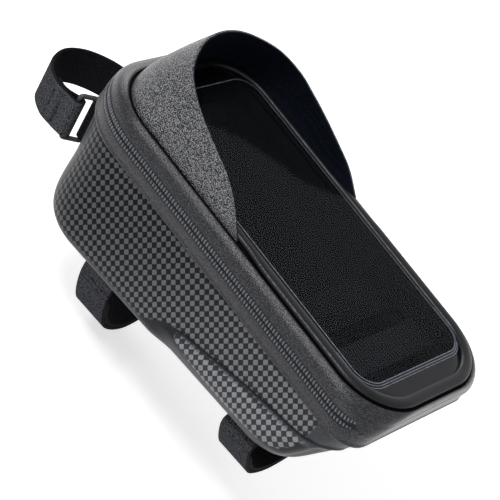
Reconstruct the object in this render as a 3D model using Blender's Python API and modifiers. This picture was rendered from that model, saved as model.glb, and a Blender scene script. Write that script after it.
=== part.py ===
"""Top tube phone bag with a hinged window lid, zip, visor, tube straps and head strap.

The row frame is metres, +Z up and square to the phone window, +X towards the rider.
-Y is the rider's left. The origin is the middle of the seat face that lies on the tube.
Shapes are written in millimetres in the lid frame, whose z is 0 at the window.
"""

import math

import bmesh
import bpy
from mathutils import Vector

MM = 0.001

# largest phone and the play round it in the pocket
PHONE_L = 159.9
PHONE_W = 76.7
PHONE_DEPTH = 10.25
PHONE_PLAY = 1.4
HALF_W = PHONE_W / 2
FILM_LOW = -0.95

# seat and underside
UNDER_SLOPE = 0.0995
UNDER_Z = -70.0
SEAT_DROP = 4.2
PATCH_X = (-76.0, 64.0)
PATCH_W = 50.0
TILT = math.atan(UNDER_SLOPE)
SEAT_Z = UNDER_Z - SEAT_DROP / math.cos(TILT)

# zip line and lid hinge
SPLIT_Z = -10.5
SEAM_Z = -20.8
SPLIT_REAR = 96.3
HINGE_X = SPLIT_REAR - 0.6
HINGE_R = 1.3
HINGE_HALF = 35.0
GAP = 0.3

# wall thicknesses
SHELL_T = 4.0
BAND_T = 1.7

# straps
STRAP_W = 19.5
STRAP_T = 1.6
STRAP_X = (-46.0, 52.5)
HEAD_W = 20.0
HEAD_T = 1.5

# zip teeth
TOOTH_PITCH = 3.8

# zip slider and pull
SLIDER_X = -40.0
SLIDER_L = 12.0
PULL_L = 27.0
PULL_NECK = 5.0

# outline of the zip band: z, front x, rear x, half width, front corner, rear corner
BAND_LEVELS = [
    (-0.2, -96.65, 96.1, HALF_W + 8.2, 28.0, 29.0),
    (-1.0, -98.3, 96.8, HALF_W + 9.55, 29.5, 28.5),
    (-3.0, -101.6, 97.1, HALF_W + 11.45, 33.0, 27.0),
    (-6.0, -104.6, 96.9, HALF_W + 12.85, 38.0, 24.0),
    (SPLIT_Z, -105.6, SPLIT_REAR, HALF_W + 13.55, 39.5, 20.0),
    (-15.0, -105.2, 95.9, HALF_W + 13.35, 37.5, 17.0),
    (SEAM_Z, -103.6, 95.3, HALF_W + 12.1, 33.5, 14.0),
]

# outline of the shell from rim to underside: share of depth, then as above
SHELL_LEVELS = [
    (0.0, -102.3, 94.6, HALF_W + 11.65, 33.0, 15.0),
    (0.15, -99.8, 91.5, HALF_W + 11.45, 32.0, 16.0),
    (0.45, -96.5, 85.5, HALF_W + 10.85, 31.0, 17.0),
    (0.75, -94.5, 79.5, HALF_W + 10.05, 30.0, 18.0),
    (0.88, -92.5, 76.5, HALF_W + 8.85, 29.0, 18.0),
    (0.95, -89.5, 73.5, HALF_W + 6.85, 27.0, 17.0),
    (0.985, -86.0, 70.5, HALF_W + 4.65, 25.0, 16.0),
    (1.0, -82.5, 67.5, HALF_W + 2.15, 23.0, 15.0),
]
GROOVE = BAND_LEVELS[0][1:]
POCKET_FLOOR = (-90.5, 46.0, HALF_W + 4.25, 22.0, 3.0)
CLOSURE_L = 16.0
CLOSURE_GAP = 8.0
PAD_SIZE = (12.0, 48.0)
PAD_FROM_END = (2.0, 52.0)
SHELL_TOP = SEAM_Z - 0.1

# visor's free edge, left half, from the rear tip to the front: x, share of the groove's half width, z
VISOR_EDGE = [
    (-4.5, 0.99, 0.9),
    (-15.3, 0.954, 8.9),
    (-26.5, 0.915, 14.0),
    (-38.2, 0.907, 17.6),
    (-50.0, 0.887, 21.0),
    (-62.0, 0.838, 24.4),
    (-74.5, 0.683, 27.4),
    (-84.6, 0.352, 29.8),
    (-87.4, 0.0, 31.0),
]
VISOR_TIP = -3.5

# tube strap loops, outer face of one half: y and depth under the underside
LOOP_FRONT = [(26.0, -0.6), (33.4, 6.0), (30.5, 20.0), (19.5, 36.4), (0.0, 43.7)]
LOOP_REAR = [(26.0, -0.6), (36.5, 5.0), (31.8, 16.3), (19.0, 29.8), (0.0, 34.6)]

# head strap, outer face, in its own plane: distance from the front wall and y
HEAD_LOOP = [
    (-16.0, -25.2), (-26.5, -23.2), (-38.0, -14.5), (-43.9, 0.0),
    (-41.0, 12.0), (-31.7, 20.7), (-20.0, 24.8), (-5.0, 27.0),
]
HEAD_ORIGIN = (-99.2, 0.0, -45.8)
HEAD_LEAN = math.atan(0.18)
HEAD_BACK = [(-26.5, -20.2), (-22.0, -21.9), (-18.0, -22.0), (-15.0, -20.9)]
HEAD_END = [(-1.2, 26.4), (0.6, 24.9), (1.0, 21.8), (1.0, 17.0), (1.0, 12.0)]
TAB_WALL = [(1.0, 5.0), (1.0, 0.5), (0.9, -4.0), (-0.6, -7.8), (-2.6, -9.8)]
TAB_TAIL = [(-2.4, -16.6), (-0.3, -17.7), (0.9, -20.0)]
HEAD_RING = (-8.2, -17.6)
HEAD_RING_DIR = (0.526, 0.85)
RING_HALF = 6.25
RING_BAR = 2.2

# pieces that swing with the lid
LID = (
    "zip_band_upper", "zip_coil_upper", "lid_binding", "lid_frame", "window_bead", "window_film",
    "visor", "visor_lining", "pocket_wall", "pocket_panel", "pocket_closure",
    "phone_pad_front", "phone_pad_rear",
)


def rgb(code):
    """Linear colour of an sRGB hex code."""
    out = []
    for k in (0, 2, 4):
        c = int(code[k:k + 2], 16) / 255.0
        out.append(c / 12.92 if c <= 0.04045 else ((c + 0.055) / 1.055) ** 2.4)
    return (out[0], out[1], out[2], 1.0)


def row(x, y, z):
    """A lid frame point in millimetres as a row frame vector in metres."""
    return Vector((x * MM, y * MM, (z - SEAT_Z) * MM))


def under(a, b, c):
    """A point given along, across and above the seat face, in row metres."""
    ct = math.cos(TILT)
    st = math.sin(TILT)
    return Vector(((a * ct - c * st) * MM, b * MM, (a * st + c * ct) * MM))


def head(s, y, h):
    """A point in the head strap's frame: out from the wall, across, up the strap's width."""
    cl = math.cos(HEAD_LEAN)
    sl = math.sin(HEAD_LEAN)
    ox, oy, oz = HEAD_ORIGIN
    return row(ox + s * cl - h * sl, oy + y, oz + s * sl + h * cl)


def lerp_row(table, key):
    """Interpolate a table on its first column."""
    rows = sorted(table)
    if key <= rows[0][0]:
        return rows[0][1:]
    for low, high in zip(rows, rows[1:]):
        if key <= high[0]:
            t = (key - low[0]) / (high[0] - low[0])
            return tuple(p + (q - p) * t for p, q in zip(low[1:], high[1:]))
    return rows[-1][1:]


def outline(spec, inset=0.0, corner=7, side=8, end=2):
    """Points of a rounded rectangle in plan, counter-clockwise from the rear right corner."""
    xf, xr, b, rf, rr = spec
    xf += inset
    xr -= inset
    b -= inset
    rf = max(rf - inset, 1.0)
    rr = max(rr - inset, 1.0)
    pts = []
    corners = [
        (xr - rr, b - rr, 0, rr, side),
        (xf + rf, b - rf, 90, rf, end),
        (xf + rf, -(b - rf), 180, rf, side),
        (xr - rr, -(b - rr), 270, rr, end),
    ]
    for k, (cx, cy, start, r, extra) in enumerate(corners):
        for i in range(corner + 1):
            a = math.radians(start + 90.0 * i / corner)
            pts.append((cx + r * math.cos(a), cy + r * math.sin(a)))
        nx, ny, nstart, nr, _ = corners[(k + 1) % 4]
        a = math.radians(nstart)
        qx = nx + nr * math.cos(a)
        qy = ny + nr * math.sin(a)
        px, py = pts[-1]
        for i in range(1, extra + 1):
            t = i / (extra + 1.0)
            pts.append((px + (qx - px) * t, py + (qy - py) * t))
    return pts


def under_z(x):
    """Height of the shell's underside in the lid frame."""
    return UNDER_Z + UNDER_SLOPE * x


def smooth_step(x, low, high):
    t = min(1.0, max(0.0, (x - low) / (high - low)))
    return t * t * (3.0 - 2.0 * t)


def shell_ring(share, inset, lift=0.0):
    """One ring of the shell; the rear of the lower edge is rounded further in."""
    spec = lerp_row(SHELL_LEVELS, share)
    out = []
    for x, y in outline(spec, inset):
        tuck = 3.4 * smooth_step(x, -9.0, 7.0) * smooth_step(share, 0.7, 1.0)
        y = y * (1.0 - tuck / 50.0)
        floor = under_z(x) + lift
        out.append(row(x, y, SHELL_TOP + (floor - SHELL_TOP) * share))
    return out


def collect(name):
    coll = bpy.data.collections.new(name)
    bpy.context.scene.collection.children.link(coll)
    return coll


def material(name, code, rough, metal=0.0, alpha=1.0):
    mat = bpy.data.materials.new(name)
    mat.use_nodes = True
    node = mat.node_tree.nodes["Principled BSDF"]
    node.inputs["Base Color"].default_value = rgb(code)
    node.inputs["Roughness"].default_value = rough
    node.inputs["Metallic"].default_value = metal
    node.inputs["Alpha"].default_value = alpha
    return mat


def add_object(name, mesh, coll, mat):
    obj = bpy.data.objects.new(name, mesh)
    if mat is not None:
        mesh.materials.append(mat)
    coll.objects.link(obj)
    return obj


def close_up(bm):
    """Weld and turn every face outwards."""
    bmesh.ops.remove_doubles(bm, verts=bm.verts[:], dist=1e-7)
    bmesh.ops.recalc_face_normals(bm, faces=bm.faces[:])


def from_bmesh(name, bm, coll, mat):
    mesh = bpy.data.meshes.new(name)
    bm.to_mesh(mesh)
    bm.free()
    return add_object(name, mesh, coll, mat)


def loft(name, rings, coll, mat, tube=False):
    """A closed solid through a list of equal rings; tube joins the last ring to the first."""
    bm = bmesh.new()
    rows = [[bm.verts.new(p) for p in ring] for ring in rings]
    pairs = list(zip(rows, rows[1:]))
    if tube:
        pairs.append((rows[-1], rows[0]))
    for a, b in pairs:
        n = len(a)
        for i in range(n):
            j = (i + 1) % n
            bm.faces.new((a[i], a[j], b[j], b[i]))
    if not tube:
        bm.faces.new(rows[0])
        bm.faces.new(list(reversed(rows[-1])))
    close_up(bm)
    return from_bmesh(name, bm, coll, mat)


def plate(name, spec, inset, z0, z1, coll, mat):
    """A flat sheet with the plan of an outline."""
    pts = outline(spec, inset)
    return loft(name, [[row(x, y, z0) for x, y in pts], [row(x, y, z1) for x, y in pts]], coll, mat)


def hoop(name, spec, section, coll, mat):
    """A closed ring whose section is a list of inset and height pairs."""
    rings = [[row(x, y, z) for x, y in outline(spec, d)] for d, z in section]
    return loft(name, rings, coll, mat, tube=True)


def band_ring(z, inset):
    return [row(x, y, z) for x, y in outline(lerp_row(BAND_LEVELS, z), inset)]


def box(name, low, high, coll, mat, place=row):
    """A box between two corners in the frame of a placing function."""
    bm = bmesh.new()
    bmesh.ops.create_cube(bm, size=1.0)
    for vert in bm.verts:
        at = [lo + (hi - lo) * (c + 0.5) for lo, hi, c in zip(low, high, vert.co)]
        vert.co = place(*at)
    return from_bmesh(name, bm, coll, mat)


def spline(points, steps):
    """A smooth open path through points, with the given steps per span."""
    pts = [Vector(p) for p in points]
    ext = [pts[0] * 2 - pts[1]] + pts + [pts[-1] * 2 - pts[-2]]
    out = []
    for k in range(1, len(ext) - 2):
        p0, p1, p2, p3 = ext[k - 1:k + 3]
        for i in range(steps):
            t = i / steps
            a = p1 * 2 + (p2 - p0) * t
            b = (p0 * 2 - p1 * 5 + p2 * 4 - p3) * t * t
            c = (p1 * 3 - p0 - p2 * 3 + p3) * t * t * t
            out.append((a + b + c) * 0.5)
    out.append(pts[-1])
    return out


def normals_2d(path):
    out = []
    for i in range(len(path)):
        a = path[max(i - 1, 0)]
        b = path[min(i + 1, len(path) - 1)]
        d = b - a
        d.normalize()
        out.append(Vector((-d.y, d.x)))
    return out


def ribbon(name, path, low, high, thick, place, coll, mat):
    """A strap of even thickness along a flat path; low and high bound its width."""
    rings = []
    for p, n in zip(path, normals_2d(path)):
        a = p + n * (thick / 2)
        b = p - n * (thick / 2)
        rings.append([place(a, low), place(b, low), place(b, high), place(a, high)])
    return loft(name, rings, coll, mat)


def cut(obj, cutters):
    """Take cutters away from an object with exact booleans."""
    for cutter in cutters:
        cutter.hide_render = True
        cutter.display_type = "WIRE"
        mod = obj.modifiers.new("cut_" + cutter.name, "BOOLEAN")
        mod.operation = "DIFFERENCE"
        mod.solver = "EXACT"
        mod.object = cutter


def join_to(obj, other):
    """Unite a helper solid with an object."""
    other.hide_render = True
    other.display_type = "WIRE"
    mod = obj.modifiers.new("join_" + other.name, "BOOLEAN")
    mod.operation = "UNION"
    mod.solver = "EXACT"
    mod.object = other


def rod(name, p0, p1, radius, coll, mat, sides=16):
    """A round bar between two row points."""
    bm = bmesh.new()
    size = radius * MM
    long = (p1 - p0).length
    bmesh.ops.create_cone(bm, cap_ends=True, segments=sides, radius1=size, radius2=size, depth=long)
    obj = from_bmesh(name, bm, coll, mat)
    obj.location = (p0 + p1) / 2
    obj.rotation_euler = (p1 - p0).to_track_quat("Z", "Y").to_euler()
    return obj


def pivot(name, point, coll):
    """An empty on a joint's axis."""
    axis = bpy.data.objects.new(name, None)
    axis.location = point
    coll.objects.link(axis)
    return axis


def hang(children, axis):
    """Parent pieces to an empty and leave them where they are."""
    bpy.context.view_layer.update()
    for child in children:
        child.parent = axis
        child.matrix_parent_inverse = axis.matrix_world.inverted()


def bevel(obj, width, segments=2, angle=40.0):
    mod = obj.modifiers.new("edge", "BEVEL")
    mod.width = width * MM
    mod.segments = segments
    mod.limit_method = "ANGLE"
    mod.angle_limit = math.radians(angle)


def make_shell(parts, mats):
    """The moulded lower shell: a cup with its own floor."""
    shares = [level[0] for level in SHELL_LEVELS]
    outer = [shell_ring(s, 0.0) for s in shares]
    inner = [shell_ring(s, SHELL_T, SHELL_T) for s in shares]
    loft("lower_shell", list(reversed(inner)) + outer, parts, mats["shell"])


def make_bands(parts, cutters, mats):
    """The two halves of the zip band, the binding inside them and the fold that they hinge on."""
    upper = [
        (-0.3, 0.05), (-1.0, 0.0), (-3.0, 0.0), (-6.0, 0.0), (SPLIT_Z + 0.15, 0.0),
        (SPLIT_Z + 0.15, BAND_T), (-6.2, BAND_T), (-4.4, 2.2),
    ]
    rings = [band_ring(z, d) for z, d in upper]
    rings += [[row(x, y, z) for x, y in outline(GROOVE, -0.25)] for z in (-3.0, -0.6)]
    top = loft("zip_band_upper", rings, parts, mats["skin"], tube=True)
    lower = [
        (SPLIT_Z - 0.15, 0.0), (-15.0, 0.0), (-18.5, 0.0), (SEAM_Z + 0.1, 0.0),
        (SEAM_Z + 0.1, BAND_T), (-18.3, BAND_T), (-14.8, BAND_T), (SPLIT_Z - 0.15, BAND_T),
    ]
    bottom = loft("zip_band_lower", [band_ring(z, d) for z, d in lower], parts, mats["skin"], tube=True)
    fold = [row(HINGE_X, y, SPLIT_Z) for y in (-HINGE_HALF, HINGE_HALF)]
    past = [row(HINGE_X, y, SPLIT_Z) for y in (-HINGE_HALF - 1.0, HINGE_HALF + 1.0)]
    room = rod("cut_hinge_room", past[0], past[1], HINGE_R + GAP, cutters, None, 24)
    cut(top, [room])
    cut(bottom, [room])
    rod("hinge_fold", fold[0], fold[1], HINGE_R, parts, mats["skin"], 20)
    lift = Vector((0.0, 0.0, 0.4 * MM))
    over_rim = [[p + lift for p in shell_ring(0.0, SHELL_T + d)] for d in (0.35, 1.3)]
    rings = [
        band_ring(SPLIT_Z - 2.4, BAND_T + 0.3), band_ring(SEAM_Z + 0.5, BAND_T + 0.3), over_rim[0],
        shell_ring(0.1, SHELL_T + 0.35), shell_ring(0.1, SHELL_T + 1.3), over_rim[1],
        band_ring(SEAM_Z + 1.6, BAND_T + 1.3), band_ring(SPLIT_Z - 2.4, BAND_T + 1.3),
    ]
    loft("inner_binding", rings, parts, mats["lining"], tube=True)


def zip_path(z):
    """Plan points of the zip line from the rear left corner round the front to the rear right."""
    spec = lerp_row(BAND_LEVELS, z)
    xf, xr, b, rf, rr = spec
    pts = []
    for i in range(7):
        a = math.radians(-42.0 - 48.0 * i / 6)
        pts.append((xr - rr + rr * math.cos(a), -(b - rr) + rr * math.sin(a)))
    for i in range(13):
        a = math.radians(270.0 - 90.0 * i / 12)
        pts.append((xf + rf + rf * math.cos(a), -(b - rf) + rf * math.sin(a)))
    for i in range(13):
        a = math.radians(180.0 - 90.0 * i / 12)
        pts.append((xf + rf + rf * math.cos(a), (b - rf) + rf * math.sin(a)))
    for i in range(7):
        a = math.radians(90.0 - 48.0 * i / 6)
        pts.append((xr - rr + rr * math.cos(a), (b - rr) + rr * math.sin(a)))
    return [Vector(p) for p in pts]


def resample(path, count):
    """Even stations along a path, and the unit normal at each, pointing out of the bag."""
    total = sum((b - a).length for a, b in zip(path, path[1:]))
    out = []
    for k in range(count + 1):
        goal = total * k / count
        for a, b in zip(path, path[1:]):
            step = (b - a).length
            if goal <= step or b is path[-1]:
                d = (b - a).normalized()
                out.append((a + d * min(goal, step), Vector((-d.y, d.x))))
                break
            goal -= step
    return out


def make_coil(name, z_low, z_high, parts, mats):
    """One side of the zip: a raised strip with a tooth at every second station."""
    length = sum((b - a).length for a, b in zip(zip_path(SPLIT_Z), zip_path(SPLIT_Z)[1:]))
    count = int(length / TOOTH_PITCH) * 2
    low = resample(zip_path(z_low), count)
    high = resample(zip_path(z_high), count)
    rings = []
    for k in range(count + 1):
        tall = 1.25 if k % 2 else 0.75
        ring = []
        for side, z, d in ((low, z_low, 0.2), (high, z_high, 0.2), (high, z_high, tall), (low, z_low, tall)):
            p, n = side[k]
            q = p + n * d
            ring.append(row(q.x, q.y, z))
        rings.append(ring)
    loft(name, rings, parts, mats["coil"])


def make_zip(parts, cutters, mats):
    """Coils, end stops, slider and pull."""
    make_coil("zip_coil_upper", SPLIT_Z + 0.35, SPLIT_Z + 2.7, parts, mats)
    make_coil("zip_coil_lower", SPLIT_Z - 2.7, SPLIT_Z - 0.35, parts, mats)
    spec = lerp_row(BAND_LEVELS, SPLIT_Z)
    xr, b, rr = spec[1], spec[2], spec[4]
    for name, side in (("zip_stop_left", -1.0), ("zip_stop_right", 1.0)):
        rings = []
        for deg in (39.0, 35.0, 31.0, 27.0):
            a = math.radians(deg)
            ring = []
            for d, z in ((0.85, -2.9), (0.3, -0.4), (1.5, -0.4), (1.9, -2.9)):
                x = xr - rr + (rr + d) * math.cos(a)
                y = side * (b - rr + (rr + d) * math.sin(a))
                ring.append(row(x, y, SPLIT_Z + z))
            rings.append(ring)
        loft(name, rings, parts, mats["coil"])
    y0 = b + 1.7
    pin_y = y0 + 3.3
    x0 = SLIDER_X - SLIDER_L / 2
    x1 = SLIDER_X + SLIDER_L / 2
    low = SPLIT_Z - 4.6
    slider = box("zip_slider", (x0, y0, low), (x1, y0 + 1.5, SPLIT_Z + 4.0), parts, mats["metal"])
    join_to(slider, box("join_flange", (x0, b + 0.3, low), (x1, y0 + 0.5, low + 1.4), cutters, None))
    for k, z in enumerate((SPLIT_Z - 3.7, SPLIT_Z + 2.9)):
        near = (SLIDER_X - 1.7, y0 + 1.0, z)
        far = (SLIDER_X + 1.7, pin_y + 1.4, z + 0.9)
        join_to(slider, box("join_ear_%d" % k, near, far, cutters, None))

    def on_pin(z):
        return row(SLIDER_X, pin_y, SPLIT_Z + z)

    join_to(slider, rod("join_pin", on_pin(-3.3), on_pin(3.3), 0.8, cutters, None, 20))
    pull = rod("zip_pull", on_pin(-2.4), on_pin(2.5), 1.8, parts, mats["rubber"], 24)
    near = (SLIDER_X + 0.9, pin_y - 0.75, SPLIT_Z - 2.0)
    far = (SLIDER_X + PULL_NECK, pin_y + 0.75, SPLIT_Z + 2.0)
    join_to(pull, box("join_neck", near, far, cutters, None))
    near = (SLIDER_X + PULL_NECK - 1.4, pin_y - 0.95, SPLIT_Z - 4.0)
    far = (SLIDER_X + PULL_L, pin_y + 0.95, SPLIT_Z + 4.0)
    join_to(pull, box("join_tab", near, far, cutters, None))
    cut(pull, [rod("cut_bore", on_pin(-6.0), on_pin(6.0), 0.86, cutters, None, 24)])
    slide = pivot("slider_axis", row(SLIDER_X, y0, SPLIT_Z), parts)
    turn = pivot("pull_axis", row(SLIDER_X, pin_y, SPLIT_Z), parts)
    hang([slider, turn], slide)
    hang([pull], turn)


def make_lid(parts, cutters, mats):
    """Lid frame, binding, bead, window and the phone pocket under it."""
    section = [(0.35, -1.4), (2.25, -1.4), (2.25, -3.2), (0.35, -3.2)]
    hoop("lid_binding", GROOVE, section, parts, mats["binding"])
    clear = GROOVE[2] - HALF_W - 0.5
    section = [(2.55, -1.25), (clear, -1.25), (clear, -3.2), (2.55, -3.2)]
    hoop("lid_frame", GROOVE, section, parts, mats["board"])
    plate("window_film", GROOVE, 3.1, FILM_LOW, FILM_LOW + 0.6, parts, mats["film"])
    bead = []
    for k in range(7):
        a = math.radians(180.0 - 180.0 * k / 6)
        bead.append((4.85 + 1.9 * math.cos(a), 0.25 + 1.9 * math.sin(a)))
    bead += [(6.75, -0.05), (2.95, -0.05)]
    hoop("window_bead", GROOVE, bead, parts, mats["bead"])
    pad_top = FILM_LOW - PHONE_DEPTH
    panel_top = pad_top - 1.0 - GAP
    low = panel_top + GAP
    inner = GROOVE[2] - HALF_W - PHONE_PLAY
    section = [(3.2, -3.5), (inner, -3.5), (inner, low), (3.2, low)]
    wall = hoop("pocket_wall", GROOVE, section, parts, mats["foam"])
    mouth_x = PHONE_L / 2 - 8.0
    mouth = box("cut_pocket_mouth", (mouth_x, -60.0, -20.0), (110.0, 60.0, -6.0), cutters, None)
    cut(wall, [mouth])
    plate("pocket_panel", POCKET_FLOOR, 0.0, panel_top - 0.9, panel_top, parts, mats["mesh"])
    strip_x = POCKET_FLOOR[1] + CLOSURE_GAP
    half = POCKET_FLOOR[2] - 0.6
    near = (strip_x, -half, panel_top - 0.9)
    box("pocket_closure", near, (strip_x + CLOSURE_L, half, panel_top), parts, mats["elastic"])
    long, wide = PAD_SIZE
    front, rear = PAD_FROM_END
    for name, x in (("phone_pad_front", front - PHONE_L / 2), ("phone_pad_rear", PHONE_L / 2 - rear)):
        pad = box(name, (x, -wide / 2, low), (x + long, wide / 2, pad_top), parts, mats["foam"])
        bevel(pad, 0.3, 1)


def grid_solid(name, front, back, parts, mat):
    """A closed skin between two equal grids of points."""
    bm = bmesh.new()
    a = [[bm.verts.new(p) for p in line] for line in front]
    b = [[bm.verts.new(p) for p in line] for line in back]
    m = len(a)
    n = len(a[0])
    for i in range(m - 1):
        for j in range(n - 1):
            bm.faces.new((a[i][j], a[i + 1][j], a[i + 1][j + 1], a[i][j + 1]))
            bm.faces.new((b[i][j], b[i][j + 1], b[i + 1][j + 1], b[i + 1][j]))
    for i in range(m - 1):
        bm.faces.new((a[i][0], b[i][0], b[i + 1][0], a[i + 1][0]))
        bm.faces.new((a[i][n - 1], a[i + 1][n - 1], b[i + 1][n - 1], b[i][n - 1]))
    for j in range(n - 1):
        bm.faces.new((a[0][j], a[0][j + 1], b[0][j + 1], b[0][j]))
        bm.faces.new((a[m - 1][j], b[m - 1][j], b[m - 1][j + 1], a[m - 1][j + 1]))
    close_up(bm)
    return from_bmesh(name, bm, parts, mat)


def visor_grid(inset):
    """Rows of the visor from its foot in the groove to its free edge, left side to right side."""
    half_edge = [(x, -share * GROOVE[2], z) for x, share, z in VISOR_EDGE]
    edge = spline(half_edge + [(x, -y, z) for x, y, z in reversed(half_edge[:-1])], 2)
    left = edge[:len(edge) // 2 + 1]
    xf, xr, b, rf, rr = GROOVE
    xf += inset
    b -= inset
    rf -= inset
    flat = b - rf
    straight = VISOR_TIP - (xf + rf)
    arc = math.pi * rf / 2
    half = straight + arc + flat
    lengths = [0.0]
    for p, q in zip(left, left[1:]):
        lengths.append(lengths[-1] + math.hypot(q.x - p.x, q.y - p.y))
    feet = []
    for s in lengths:
        d = half * (s / lengths[-1]) ** 0.97
        if d <= straight:
            feet.append(Vector((VISOR_TIP - d, -b, 0.0)))
        elif d <= straight + arc:
            a = (d - straight) / rf
            feet.append(Vector((xf + rf - rf * math.sin(a), -flat - rf * math.cos(a), 0.0)))
        else:
            feet.append(Vector((xf, -flat + (d - straight - arc), 0.0)))
    feet += [Vector((p.x, -p.y, 0.0)) for p in reversed(feet[:-1])]
    rows = []
    for k in range(6):
        t = k / 5.0
        line = []
        for foot, tip in zip(feet, edge):
            base = Vector((foot.x, foot.y, -0.9))
            out = Vector((foot.x + 60.0, foot.y, 0.0))
            if out.x > 0:
                out.x = 0.0
            out.normalize()
            p = base.lerp(tip, t ** 1.45)
            p.z = base.z + (tip.z - base.z) * t
            p += out * (0.035 * (tip.z + 0.9) * math.sin(math.pi * t))
            p -= out * inset * min(t, 0.9)
            line.append(p)
        rows.append(line)
    return rows


def make_visor(parts, mats):
    """The sun visor round the front of the window, and its dark inner face."""
    for name, near, far, mat in (("visor", 0.3, 1.25, "visor"), ("visor_lining", 1.5, 1.95, "lining")):
        front = [[row(p.x, p.y, p.z) for p in line] for line in visor_grid(near)]
        back = [[row(p.x, p.y, p.z) for p in line] for line in visor_grid(far)]
        grid_solid(name, front, back, parts, mats[mat])


def make_seat(parts, cutters, mats):
    """The patch under the shell, with a tunnel for each tube strap."""
    top = SEAT_DROP - 0.3
    near = (PATCH_X[0], -PATCH_W / 2, 0.0)
    patch = box("base_patch", near, (PATCH_X[1], PATCH_W / 2, top), parts, mats["patch"], under)
    tunnels = []
    for k, x in enumerate(STRAP_X):
        half = STRAP_W / 2 + 1.0
        near = (x - half, -40.0, 1.3)
        tunnels.append(box("cut_tunnel_%d" % k, near, (x + half, 40.0, top + 2.0), cutters, None, under))
    cut(patch, tunnels)


def make_tube_strap(name, x, loop, parts, mats):
    """A strap through the patch that hangs in a loop and overlaps itself at the bottom."""
    mid = 1.3 + GAP + STRAP_T / 2
    middle = Vector((0.0, -15.0))
    whole = [(-y, d) for y, d in loop] + list(reversed(loop[:-1]))
    body = spline([(y, SEAT_DROP - d) for y, d in whole], 6)
    outer = []
    inner = []
    for p, n in zip(body, normals_2d(body)):
        inward = n if n.dot(middle - p) > 0 else -n
        outer.append(p + inward * (STRAP_T / 2))
        inner.append(p + inward * (STRAP_T * 1.5 + 0.35))
    low = min(range(len(outer)), key=lambda i: outer[i].y)
    tail = inner[low - 12:low + 6]
    step_out = []
    for k, i in enumerate(range(low + 6, low + 12)):
        step_out.append(inner[i].lerp(outer[i], smooth_step(k + 1.0, 0.0, 7.0)))
    far = [p for p in tail + step_out + outer[low + 12:] if not (p.x < 30.0 and p.y > 0.0)]
    across = [Vector((26.0 - 52.0 * k / 6.0, mid)) for k in range(7)]
    near = [p for p in outer[:low + 5] if not (p.x > -30.0 and p.y > 0.0)]

    def on_seat(p, w):
        return under(w, p.x, p.y)

    path = far + across + near
    ribbon(name, path, x - STRAP_W / 2, x + STRAP_W / 2, STRAP_T, on_seat, parts, mats["strap"])


def make_head_strap(parts, cutters, mats):
    """The strap round the head tube, its ring and the tab that holds the ring."""
    half = HEAD_W / 2
    outer = spline(HEAD_LOOP, 6)
    centre = []
    for p, n in zip(outer, normals_2d(outer)):
        toward = n if n.dot(Vector((-18.0, 1.0)) - p) > 0 else -n
        centre.append(p + toward * (HEAD_T / 2))
    rx, ry = HEAD_RING
    dx, dy = HEAD_RING_DIR
    arm = RING_HALF - RING_BAR / 2
    r = math.hypot(RING_BAR, RING_BAR) / 2 + GAP + HEAD_T / 2

    def about(sign, degrees):
        cx = rx + sign * dx * arm
        cy = ry + sign * dy * arm
        turns = [math.radians(a) for a in degrees]
        return [Vector((cx + r * math.cos(a), cy + r * math.sin(a))) for a in turns]

    def on_head(p, w):
        return head(p.x, p.y, w)

    back = [Vector(p) for p in HEAD_BACK]
    end = [Vector(p) for p in HEAD_END]
    path = back + about(-1.0, range(115, -96, -30)) + centre + end
    ribbon("head_strap", path, -half, half, HEAD_T, on_head, parts, mats["strap"])
    tab = [Vector(p) for p in TAB_WALL]
    tail = [Vector(p) for p in TAB_TAIL]
    path = tab + about(1.0, (85, 115, 145, 175, 205, 235, 265, 290)) + tail
    ribbon("head_strap_tab", path, -half, half, HEAD_T, on_head, parts, mats["strap"])
    tall = half + 3.2

    def slab(name, long_half, tall_half, deep, coll, mat):
        rings = []
        for off in (-deep, deep):
            ring = []
            for a, h in ((-1, -1), (1, -1), (1, 1), (-1, 1)):
                along = a * long_half
                ring.append(head(rx + dx * along - dy * off, ry + dy * along + dx * off, h * tall_half))
            rings.append(ring)
        return loft(name, rings, coll, mat)

    ring_obj = slab("head_ring", RING_HALF, tall, RING_BAR / 2, parts, mats["ring"])
    cut(ring_obj, [slab("cut_ring_slot", RING_HALF - RING_BAR, half + 0.8, 4.0, cutters, None)])


def main():
    for obj in list(bpy.data.objects):
        bpy.data.objects.remove(obj, do_unlink=True)
    parts = collect("top_tube_phone_bag")
    cutters = collect("cutters")
    mats = {
        "shell": material("shell_polyurethane", "4a4a4e", 0.55),
        "skin": material("band_polyurethane", "55555a", 0.5),
        "coil": material("zip_nylon", "4c4c50", 0.45),
        "lining": material("dark_lining", "15171c", 0.8),
        "binding": material("black_binding", "101012", 0.7),
        "board": material("stiff_board", "1c1c20", 0.7),
        "film": material("clear_film", "dfe6ee", 0.08, 0.0, 0.35),
        "bead": material("bead_polyurethane", "3c3c42", 0.45),
        "foam": material("black_foam", "1b1b1e", 0.9),
        "mesh": material("pocket_mesh", "202024", 0.85),
        "elastic": material("black_elastic", "18181b", 0.85),
        "visor": material("visor_leather", "77777a", 0.6),
        "strap": material("strap_weave", "48474c", 0.9),
        "ring": material("ring_nylon", "4a4a48", 0.4),
        "patch": material("seat_rubber", "2a2a2d", 0.85),
        "metal": material("slider_metal", "3a3a3d", 0.35, 1.0),
        "rubber": material("pull_rubber", "2c2c30", 0.7),
    }
    make_shell(parts, mats)
    make_bands(parts, cutters, mats)
    make_zip(parts, cutters, mats)
    make_lid(parts, cutters, mats)
    make_visor(parts, mats)
    make_seat(parts, cutters, mats)
    make_tube_strap("tube_strap_front", STRAP_X[0], LOOP_FRONT, parts, mats)
    make_tube_strap("tube_strap_rear", STRAP_X[1], LOOP_REAR, parts, mats)
    make_head_strap(parts, cutters, mats)
    hinge = pivot("lid_axis", row(HINGE_X, 0.0, SPLIT_Z), parts)
    hang([obj for obj in parts.objects if obj.name in LID], hinge)


main()
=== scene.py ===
import math

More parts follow.
